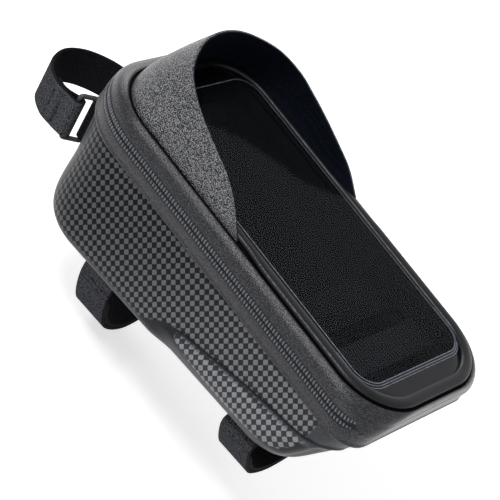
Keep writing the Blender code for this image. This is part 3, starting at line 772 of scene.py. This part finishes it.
def make_teeth(name, side, body, node, mats):
    """A row of slanted teeth that stand through a narrow strip of coated zip tape."""
    long = TOOTH_LONG * (1.0 if side > 0 else 0.8)
    mid = SPLIT_Z + side * (LIP + long / 2)
    bm = bmesh.new()
    for p, d, n, t in stations(zip_path(mid), TOOTH_PITCH):
        fade = ease(t, 0.0, 0.03) * (1.0 - ease(t, 0.97, 1.0))
        rise = TOOTH_RISE * fade * mix(0.12, 1.0, ease(abs(n.y), 0.45, 0.9))
        if rise < 0.08:
            continue
        rows = []
        for lift, grow in ((-0.25, 1.0), (rise * 0.6, 0.88), (rise, 0.5)):
            ring = []
            for a in range(8):
                turn = math.radians(45.0 * a + 22.5)
                up = math.sin(turn) * long / 2 * grow * 1.08
                along = math.cos(turn) * TOOTH_WIDE / 2 * grow * 1.1 + up * TOOTH_SLANT
                q = p + d * along + n * lift
                ring.append(bm.verts.new(row(q.x, q.y, mid + up)))
            rows.append(ring)
        for a, b in zip(rows, rows[1:]):
            for j in range(8):
                bm.faces.new((a[j], a[(j + 1) % 8], b[(j + 1) % 8], b[j]))
        bm.faces.new(rows[-1])
        bm.faces.new(list(reversed(rows[0])))
    tape = []
    path = zip_path(SPLIT_Z)
    for share, lift in ((0.05, 0.02), (0.12, 0.16), (0.88, 0.16), (1.0, -0.05)):
        line = []
        for i in range(len(path)):
            ends = ease(min(i, len(path) - 1 - i), 0.0, 12.0)
            z = SPLIT_Z + side * TAPE_W * share * mix(0.3, 1.0, ends)
            p = zip_path(z)[i]
            d = (path[min(i + 1, len(path) - 1)] - path[max(i - 1, 0)]).normalized()
            shown = min(1.0, ends * 4.0) * ease(abs(d.x), 0.3, 0.7)
            q = p + Vector((-d.y, d.x)) * mix(-0.12, lift, shown)
            line.append(bm.verts.new(row(q.x, q.y, z)))
        tape.append(line)
    for a, b in zip(tape, tape[1:]):
        for j in range(len(a) - 1):
            bm.faces.new((a[j], a[j + 1], b[j + 1], b[j])).material_index = 1
    obj = solid(name, bm, [mats["coil"], mats["tape"]])
    place(obj, body, "coil", node)


def make_stops(mats):
    """The end of the zip at each rear corner, pressed flat under the coating."""
    for name, side in (("zip_stop_left", -1.0), ("zip_stop_right", 1.0)):
        rings = []
        for k in range(7):
            a = math.radians(ZIP_END - 1.0 - STOP_TURN * k)
            swell = math.sin(math.pi * k / 6.0) ** 0.5
            ring = []
            for share in (0.0, 0.2, 0.5, 0.8, 1.0):
                z = SPLIT_Z - 0.5 - 2.4 * share
                _, xr, b, _, rr = smooth_table(BAND_LEVELS, z)
                r = rr - 0.15 + 0.75 * swell * math.sin(math.pi * share)
                ring.append(row(xr - rr + r * math.cos(a), side * (b - rr + r * math.sin(a)), z))
            rings.append(ring)
        place(loft(name + "_cap", rings, mats["band"], closed=False), "bag", "coil", name)


def make_lid(mats):
    """Binding, bead, clear window with its raised rim, and the frame under it."""
    step = 1.5 if FINE == 2 else 3.0
    rings = []
    for k in range(17):
        a = math.radians(200.0 - 220.0 * k / 16)
        ring = []
        for p, n in rounded(GROOVE, 0.0, step):
            outer = mix(*BEAD_OUTER, ease(p.x, 0.0, 16.0))
            d = mix(outer, BEAD_INNER, 0.5 + 0.5 * math.cos(a))
            ring.append(row(p.x - n.x * d, p.y - n.y * d, 0.1 + BEAD_HALF * math.sin(a)))
        rings.append(ring)
    place(loft("window_piping", rings, mats["bead"], tube=True), "lid", "bead", "window_bead")
    section = [(0.2, -1.3), (0.9, -1.1), (1.7, -1.1), (2.4, -1.3), (2.4, -3.2), (0.3, -3.2)]
    place(hoop("groove_binding", GROOVE, section, mats["binding"], step), "lid", "binding", "lid_binding")
    clear = GROOVE[2] - PHONE_HALF_W - 0.5
    section = [(2.6, -1.45), (2.9, -1.25), (clear - 0.5, -1.25), (clear, -1.6), (clear, -2.8), (clear - 0.5, -3.2),
               (2.6, -3.2)]
    place(hoop("window_board", GROOVE, section, mats["board"], step), "lid", "board", "lid_frame")
    make_window(mats, step)


def window_profile():
    """Rings of the clear film from the bead to its middle: outline, inset, height and finish."""
    phone = (-PHONE_HALF_L, PHONE_HALF_L, PHONE_HALF_W, PHONE_CORNER, PHONE_CORNER)
    out = [(GROOVE, 3.2, -0.5, PLAIN), (GROOVE, 6.6, -0.45, PLAIN), (GROOVE, 7.3, -0.3, PLAIN)]
    out += [(phone, -2.6, -0.2, PLAIN), (phone, -2.1, 0.1, RIM), (phone, -1.8, 0.1, PLAIN)]
    out += [(phone, -1.5, 0.15, PLAIN)]
    out += [(phone, -1.1, 0.55, RIM), (phone, -0.8, 0.55, PLAIN), (phone, -0.5, 0.6, PLAIN)]
    out += [(phone, 0.0, 0.95, RIM), (phone, 0.35, 1.0, FILM), (phone, 2.0, 1.05, FILM)]
    return out


def make_window(mats, step):
    """The clear film: a dark glossy border, then small heat-formed steps up to a flat over the phone's place."""
    profile = window_profile()
    top = [ring_at(spec, d, z, step) for spec, d, z, _ in profile]
    low = [[v - Vector((0.0, 0.0, 0.35 * MM)) for v in ring] for ring in reversed(top)]
    count = len(top)

    def finish(i, x):
        k = max(i if i < count else 2 * count - 2 - i, 0)
        # step crests marked RIM are painted pale as highlight lines; the outer ones only behind RIM_X
        if profile[k][3] == RIM and x < RIM_X * MM and profile[k][1] < 0.0:
            return PLAIN
        return profile[k][3]

    bm = bmesh.new()
    rows = [[bm.verts.new(p) for p in ring] for ring in top + low]
    for i, (a, b) in enumerate(zip(rows, rows[1:] + rows[:1])):
        if i == count - 1:
            continue
        for j in range(len(a)):
            k = (j + 1) % len(a)
            bm.faces.new((a[j], a[k], b[k], b[j])).material_index = finish(i, a[j].co.x)
    bm.faces.new(rows[count - 1]).material_index = FILM
    bm.faces.new(list(reversed(rows[count]))).material_index = FILM
    film = solid("window_film_dish", bm, [mats["border"], mats["film"], mats["rim"]])
    place(film, "lid", "film", "window_film")


def make_pocket(mats):
    """The phone's pocket under the window: foam wall, lining panel, elastic strip and two pads."""
    step = 2.0 if FINE == 2 else 4.0
    inner = GROOVE[2] - PHONE_HALF_W - PHONE_PLAY
    section = [(3.2, -4.1), (3.8, -3.5), (inner - 0.8, -3.5), (inner, -4.3), (inner, PANEL_TOP - 0.4),
               (inner - 0.8, PANEL_TOP + GAP), (3.8, PANEL_TOP + GAP), (3.2, PANEL_TOP + 0.9)]
    ends = rounded(GROOVE, 0.0, step)
    keep = [i for i, (p, _) in enumerate(ends) if p.x <= MOUTH_X]
    rings = []
    tracks = [(rounded(GROOVE, d, step), z) for d, z in section]
    for i in keep:
        rings.append([row(min(track[i][0].x, MOUTH_X), track[i][0].y, z) for track, z in tracks])
    place(loft("pocket_foam_wall", rings, mats["foam"]), "lid", "foam", "pocket_wall")
    panel = []
    for d, z in ((0.5, -0.9), (0.1, -0.7), (0.0, -0.45), (0.1, -0.2), (0.5, 0.0), (2.2, 0.0), (2.6, -0.25),
                 (8.0, -0.4), (20.0, -0.5), (POCKET_FLOOR[2] - 4.0, -0.55)):
        panel.append(ring_at(POCKET_FLOOR, d, PANEL_TOP + z, step))
    place(loft("pocket_lining_panel", panel, mats["mesh"]), "lid", "mesh", "pocket_panel")
    near = POCKET_FLOOR[1] + CLOSURE_GAP
    half = POCKET_FLOOR[2] - 0.6
    strip = []
    for share, along in ((0.2, 0.3), (0.0, 0.8), (0.0, 3.0), (0.18, 4.0), (0.18, 12.0), (0.0, 13.0), (0.0, 15.2),
                         (0.2, 15.7), (0.8, 15.7), (1.0, 15.2), (1.0, 0.8), (0.8, 0.3)):
        z = PANEL_TOP - 0.9 * share
        line = []
        for k in range(25):
            line.append(row(near + along, -half + 2 * half * k / 24, z - 0.25 * math.sin(math.pi * k / 24)))
        strip.append(line)
    rings = [[line[k] for line in strip] for k in range(25)]
    place(loft("pocket_elastic_strip", rings, mats["elastic"]), "lid", "elastic", "pocket_closure")
    long, wide = PAD_SIZE
    low = PANEL_TOP + GAP
    for name, x in (("phone_pad_front", 2.0 - PHONE_HALF_L), ("phone_pad_rear", PHONE_HALF_L - 52.0)):
        spec = (x, x + long, wide / 2, 2.5, 2.5)
        levels = ((0.6, 0.0), (0.1, 0.2), (0.0, 0.45), (0.15, 0.7), (0.6, 0.88), (1.6, 0.96), (3.5, 1.0),
                  (5.4, 1.0))
        pad = loft(name + "_foam", [ring_at(spec, d, low + z, 8.0) for d, z in levels], mats["foam"])
        place(pad, "lid", "foam", name)


def make_inner_tape(mats):
    """The binding tape sewn over the joint of the band and the shell, inside the bag."""
    step = 2.0 if FINE == 2 else 4.0

    def on_shell(share, inset, lift):
        ring = []
        for p, _ in rounded(smooth_table(SHELL_LEVELS, share), SHELL_T + inset, step):
            ring.append(row(p.x, p.y, SHELL_TOP + (under_z(p.x) - SHELL_TOP) * share + lift))
        return ring

    def on_band(z, inset):
        return band_ring(z, BAND_T + inset, step)

    rings = [on_band(*at) for at in ((SPLIT_Z - 2.4, 0.5), (SPLIT_Z - 2.8, 0.3), (SEAM_Z + 0.5, 0.3))]
    rings += [on_shell(*at) for at in ((0.0, 0.35, 0.4), (0.1, 0.35, 0.4), (0.1, 1.1, 0.2), (0.08, 1.3, 0.4),
                                       (0.0, 1.3, 0.4))]
    rings += [on_band(*at) for at in ((SEAM_Z + 1.6, 1.3), (SPLIT_Z - 2.8, 1.3), (SPLIT_Z - 2.4, 1.0))]
    tape = loft("inner_binding_tape", rings, mats["lining_tape"], tube=True)
    place(tape, "bag", "binding", "inner_binding")


def visor_rows(inset, rows_n, spans):
    """Rows of the visor from its foot in the groove to its free edge, left side to right side."""
    half_edge = [(x, -share * GROOVE[2], z) for x, share, z in VISOR_EDGE]
    edge = spline(half_edge + [(x, -y, z) for x, y, z in reversed(half_edge[:-1])], spans)
    left = edge[:len(edge) // 2 + 1]
    xf, _, b, rf, _ = GROOVE
    foot_in = inset + VISOR_FOOT_IN
    xf += foot_in
    b -= foot_in
    rf -= foot_in
    flat = b - rf
    straight = VISOR_TIP - (xf + rf)
    arc = math.pi * rf / 2
    half = straight + arc + flat
    lengths = [0.0]
    for p, q in zip(left, left[1:]):
        lengths.append(lengths[-1] + math.hypot(q.x - p.x, q.y - p.y))
    feet = []
    for s in lengths:
        d = half * (s / lengths[-1]) ** VISOR_CROWD
        if d <= straight:
            feet.append(Vector((VISOR_TIP - d, -b, 0.0)))
        elif d <= straight + arc:
            a = (d - straight) / rf
            feet.append(Vector((xf + rf - rf * math.sin(a), -flat - rf * math.cos(a), 0.0)))
        else:
            feet.append(Vector((xf, -flat + (d - straight - arc), 0.0)))
    feet += [Vector((p.x, -p.y, 0.0)) for p in reversed(feet[:-1])]
    rows = []
    for k in range(rows_n):
        t = k / (rows_n - 1.0)
        line = []
        for foot, tip in zip(feet, edge):
            base = Vector((foot.x, foot.y, VISOR_FOOT_Z))
            out = Vector((foot.x + 60.0, foot.y, 0.0))
            out.x = min(out.x, 0.0)
            out.normalize()
            p = base.lerp(tip, t ** VISOR_LEAN)
            p.z = mix(base.z, tip.z, t)
            p += out * (VISOR_BELLY * (tip.z - VISOR_FOOT_Z) * math.sin(math.pi * t))
            p -= out * inset * min(t, 0.9)
            line.append(p)
        rows.append(line)
    return rows


def make_visor(mats):
    """The visor: stiff board in grained coating outside, dark cloth inside, a folded edge."""
    count = 22 if FINE == 2 else 10
    spans = 10 if FINE == 2 else 4
    for name, node, near, far, slot in (
        ("visor_outer", "visor", 0.3, 1.2, "visor"), ("visor_inner", "visor_lining", 1.25, 1.95, "lining"),
    ):
        sheet = visor_rows(near, count, spans) + visor_rows(far, count, spans)[::-1]
        rings = [[row(*line[j]) for line in sheet] for j in range(len(sheet[0]))]
        place(loft(name, rings, mats[node]), "lid", slot, node)


def webbing(name, path, low, high, thick, set_at, mats):
    """A strap along a flat path with rounded edges: cloth on its outer face, smooth tape on the inner one."""
    bow = thick * 0.5
    rings = []
    for p, n in zip(path, normals_2d(path)):
        ring = []
        width = (low + 0.35, mix(low, high, 0.25), mix(low, high, 0.5), mix(low, high, 0.75), high - 0.35)
        for w in width:
            ring.append(set_at(p + n * bow, w))
        ring.append(set_at(p + n * (bow * 0.4), high))
        ring.append(set_at(p - n * (bow * 0.4), high))
        for w in reversed(width):
            ring.append(set_at(p - n * bow, w))
        ring.append(set_at(p - n * (bow * 0.4), low))
        ring.append(set_at(p + n * (bow * 0.4), low))
        rings.append(ring)

    def paint(i, j):
        return 0 if j < 4 or j == 13 else 1

    return loft(name, rings, [mats["strap"], mats["strap_back"]], paint=paint)


def make_tube_strap(name, x, loop, node, mats):
    """A strap that hangs in a loop under the seat patch and overlaps itself at the bottom."""
    mid = TUNNEL_LOW + STRAP_T / 2
    middle = Vector((0.0, -15.0))
    clear = TUNNEL_HALF + 4.0
    whole = [(-y, d) for y, d in loop] + list(reversed(loop[:-1]))
    body = spline([(y, SEAT_DROP - d) for y, d in whole], 6)
    outer = []
    inner = []
    for p, n in zip(body, normals_2d(body)):
        inward = n if n.dot(middle - p) > 0 else -n
        outer.append(p + inward * (STRAP_T / 2))
        inner.append(p + inward * (STRAP_T * 1.5 + 0.35))
    low = min(range(len(outer)), key=lambda i: outer[i].y)
    tail = inner[low - 12:low + 6]
    step_out = []
    for k, i in enumerate(range(low + 6, low + 12)):
        step_out.append(inner[i].lerp(outer[i], ease(k + 1.0, 0.0, 7.0)))
    far = [p for p in tail + step_out + outer[low + 12:] if not (p.x < clear and p.y > 0.0)]
    across = [Vector((TUNNEL_HALF - 2 * TUNNEL_HALF * k / 6.0, mid)) for k in range(7)]
    near = [p for p in outer[:low + 5] if not (p.x > -clear and p.y > 0.0)]

    def on_seat(p, w):
        return under(w, p.x, p.y)

    path = spline([(p.x, p.y) for p in reversed(far + across + near)], FINE + 1)
    obj = webbing(name, path, x - STRAP_W / 2, x + STRAP_W / 2, STRAP_T, on_seat, mats)
    return place(obj, "bag", "strap", node)


def make_head_strap(mats):
    """The strap round the head tube, the tab that holds the ring, and the ring."""
    half = HEAD_W / 2
    outer = spline(HEAD_LOOP, 6)
    centre = []
    for p, n in zip(outer, normals_2d(outer)):
        toward = n if n.dot(Vector(HEAD_MIDDLE) - p) > 0 else -n
        centre.append(p + toward * (HEAD_T / 2))
    rx, ry = HEAD_RING
    dx, dy = HEAD_RING_DIR
    arm = RING_HALF - RING_BAR / 2
    r = math.hypot(RING_BAR, RING_BAR) / 2 + 0.3 + HEAD_T / 2

    def about(sign, degrees):
        cx = rx + sign * dx * arm
        cy = ry + sign * dy * arm
        turns = [math.radians(a) for a in degrees]
        return [Vector((cx + r * math.cos(a), cy + r * math.sin(a))) for a in turns]

    def on_head(p, w):
        return head(p.x, p.y, w)

    path = HEAD_BACK + about(-1.0, range(115, -96, -30)) + centre + HEAD_END
    path = spline([tuple(p) for p in path], FINE + 1)
    strap = webbing("head_webbing", path, -half, half, HEAD_T, on_head, mats)
    place(strap, "bag", "strap", "head_strap")
    path = TAB_WALL + about(1.0, (85, 115, 145, 175, 205, 235, 265, 290)) + TAB_TAIL
    path = spline([tuple(p) for p in path], FINE + 1)
    piece = webbing("ring_tab", path, -half, half, HEAD_T, on_head, mats)
    place(piece, "bag", "strap", "head_strap_tab")


def make_ring(mats):
    """The moulded ring, its corners and edges rounded."""
    rx, ry = HEAD_RING
    dx, dy = HEAD_RING_DIR
    half = HEAD_W / 2
    tall = half + RING_PAST
    inner = RING_HALF - RING_BAR - RING_HOLE_CORNER
    loop = []
    hole = []
    for cx, cy, start in ((1, 1, 0), (-1, 1, 90), (-1, -1, 180), (1, -1, 270)):
        for i in range(7):
            a = math.radians(start + 15.0 * i)
            c, s = math.cos(a), math.sin(a)
            loop.append((cx * (RING_HALF - RING_CORNER) + RING_CORNER * c,
                         cy * (tall - RING_CORNER) + RING_CORNER * s))
            hole.append((cx * inner + RING_HOLE_CORNER * c, cy * (half - 0.1) + RING_HOLE_CORNER * s))
    section = []
    for k in range(12):
        a = math.radians(30.0 * k)
        section.append((0.5 - 0.5 * math.cos(a), RING_BAR / 2 * math.sin(a)))
    rings = []
    for t, off in section:
        ring = []
        for (ax, ah), (bx, bh) in zip(loop, hole):
            along = mix(ax, bx, t)
            h = mix(ah, bh, t)
            ring.append(head(rx + dx * along - dy * off, ry + dy * along + dx * off, h))
        rings.append(ring)
    obj = loft("head_strap_ring", rings, mats["ring"], tube=True)
    place(obj, "bag", "ring", "head_ring")


def seen_directly(tree):
    """1 for rays from the camera, from a mirror or through glass, and 0 for those that light the object."""
    rays = add(tree, "ShaderNodeLightPath").outputs
    seen = rays["Is Camera Ray"]
    for other in ("Is Glossy Ray", "Is Transmission Ray"):
        seen = add(tree, "ShaderNodeMath", {"operation": "MAXIMUM"}, _0=seen, _1=rays[other]).outputs[0]
    return seen


def make_stage():
    """A pale floor below the straps that shows white and keeps a soft shadow."""
    mat = bpy.data.materials.new("pale_floor_paint")
    mat.use_nodes = True
    tree = mat.node_tree
    skin = tree.nodes["Principled BSDF"]
    skin.inputs["Base Color"].default_value = linear("f4f4f4")
    skin.inputs["Roughness"].default_value = 0.9
    glow = add(tree, "ShaderNodeEmission", Color=(1.0, 1.0, 1.0, 1.0), Strength=FLOOR_GLOW)
    both = add(tree, "ShaderNodeAddShader", _0=skin.outputs[0], _1=glow.outputs[0])
    pick = add(tree, "ShaderNodeMixShader", _0=seen_directly(tree), _1=skin.outputs[0], _2=both.outputs[0])
    tree.links.new(pick.outputs[0], tree.nodes["Material Output"].inputs["Surface"])
    bm = bmesh.new()
    bmesh.ops.create_grid(bm, x_segments=1, y_segments=1, size=6.0)
    floor = solid("floor", bm, mat, False)
    floor.location.z = -FLOOR_DROP * MM


def make_light():
    """Even white surroundings and three area lamps."""
    world = bpy.data.worlds.new("studio")
    bpy.context.scene.world = world
    world.use_nodes = True
    tree = world.node_tree
    back = tree.nodes["Background"]
    back.inputs["Color"].default_value = (1.0, 1.0, 1.0, 1.0)
    shown = add(tree, "ShaderNodeMapRange", Value=seen_directly(tree), To_Min=WORLD_LIGHT, To_Max=1.0)
    tree.links.new(shown.outputs["Result"], back.inputs["Strength"])
    for name, at, size, power in LAMPS:
        data = bpy.data.lights.new(name, "AREA")
        data.size = size
        data.energy = power
        lamp = bpy.data.objects.new(name, data)
        lamp.location = at
        lamp.rotation_euler = (Vector(AIM) - Vector(at)).to_track_quat("-Z", "Y").to_euler()
        bpy.context.scene.collection.objects.link(lamp)


def make_camera():
    """The photo's camera, rolled as it was held."""
    data = bpy.data.cameras.new("camera")
    data.lens = CAMERA_LENS
    data.sensor_width = 36.0
    cam = bpy.data.objects.new("camera", data)
    at = row(*CAMERA_AT)
    cam.location = at
    look = (row(*CAMERA_TO) - at).to_track_quat("-Z", "Y")
    turn = look @ Quaternion((0.0, 0.0, 1.0), math.radians(CAMERA_ROLL))
    cam.rotation_euler = turn.to_euler()
    bpy.context.scene.collection.objects.link(cam)
    bpy.context.scene.camera = cam


def make_materials():
    """Every finish of the object, by the name that the pieces use."""
    return {
        "shell": checked_shell(),
        "band": pebbled("grained_polyurethane_cloth", "101115", "222327", "46474c", 0.3, 0.6, 0.6, shine=0.32),
        "bead": pebbled("polyurethane_piping", "08090d", "101116", "1c1d24", 0.3, 0.7, 0.3, shine=0.22),
        "visor": pebbled("coarse_grained_polyurethane_cloth", "121214", "4c4d50", "b2b3b6", 0.34, 0.46, 0.9,
                         shine=0.3),
        "visor_lining": woven("visor_lining_cloth", "090c14", "161b26", 0.8, 0.7, 0.25),
        # the teeth are painted much paler than the band coating over them: a painted highlight on the tooth bumps
        "coil": moulded("coated_nylon_teeth", "515256", "77787d", 0.4, shine=0.25),
        "tape": moulded("coated_zip_tape", "222327", "303136", 0.5, shine=0.05),
        "binding": woven("black_binding_tape", "040405", "0c0c0f", 0.8),
        "lining": woven("brushed_lining_cloth", "101115", "202127", 0.8),
        "lining_tape": ribbed("grosgrain_lining_tape", "0d0e11", "222328", 0.9, "Z"),
        "board": moulded("black_stiffening_board", "08090b", "0f1013", 0.5, shine=0.1),
        "border": moulded("glossy_black_window_border", "0a0b10", "0f1016", 0.14, 2.0, 0.03, shine=0.22),
        # painted highlight: pale lines on the crests of the film's formed steps
        "rim": moulded("film_edge_painted_highlight", "5a606c", "8890a0", 0.2, 1.5, 0.03, shine=0.3),
        "film": clear_film(),
        "foam": woven("cloth_laminated_foam", "0c0d0f", "131417", 1.4, 0.9, 0.08),
        "mesh": woven("knitted_pocket_mesh", "090a0c", "0e0f12", 1.8, 0.9, 0.05),
        "elastic": ribbed("ribbed_black_elastic", "0b0c0f", "1f2025", 1.1, "Y"),
        "strap": woven("loop_pile_webbing", "1b1c20", "57585d", 0.75, 0.92, 0.8),
        "strap_back": woven("smooth_nylon_tape", "0b0c0f", "1d1e22", 0.7, 0.7, 0.3),
        "ring": moulded("moulded_acetal", "3a3a3b", "4c4c4d", 0.36, shine=0.3),
        "patch": moulded("moulded_seat_rubber", "17181b", "242528", 0.8, 1.2, 0.6, shine=0.1),
        "metal": moulded("painted_zinc_slider", "2a2b2e", "38393c", 0.35, 0.8, 0.1, metal=0.9),
        "rubber": moulded("moulded_pull_rubber", "1b1c1f", "28292d", 0.65, shine=0.15),
    }


mats = make_materials()
make_shell(mats)
make_bands(mats)
make_teeth("teeth_above", 1.0, "lid", "zip_coil_upper", mats)
make_teeth("teeth_below", -1.0, "bag", "zip_coil_lower", mats)
make_stops(mats)
make_fold(mats)
make_lid(mats)
make_pocket(mats)
make_inner_tape(mats)
make_visor(mats)
make_tube_strap("front_tube_webbing", STRAP_X[0], LOOP_FRONT, "tube_strap_front", mats)
make_tube_strap("rear_tube_webbing", STRAP_X[1], LOOP_REAR, "tube_strap_rear", mats)
make_head_strap(mats)
make_ring(mats)
for node, mat in (("base_patch", "patch"), ("zip_slider", "metal"), ("zip_pull", "rubber")):
    dress(node, mats[mat])
make_stage()
make_light()
make_camera()
bpy.context.scene.view_settings.view_transform = "Standard"
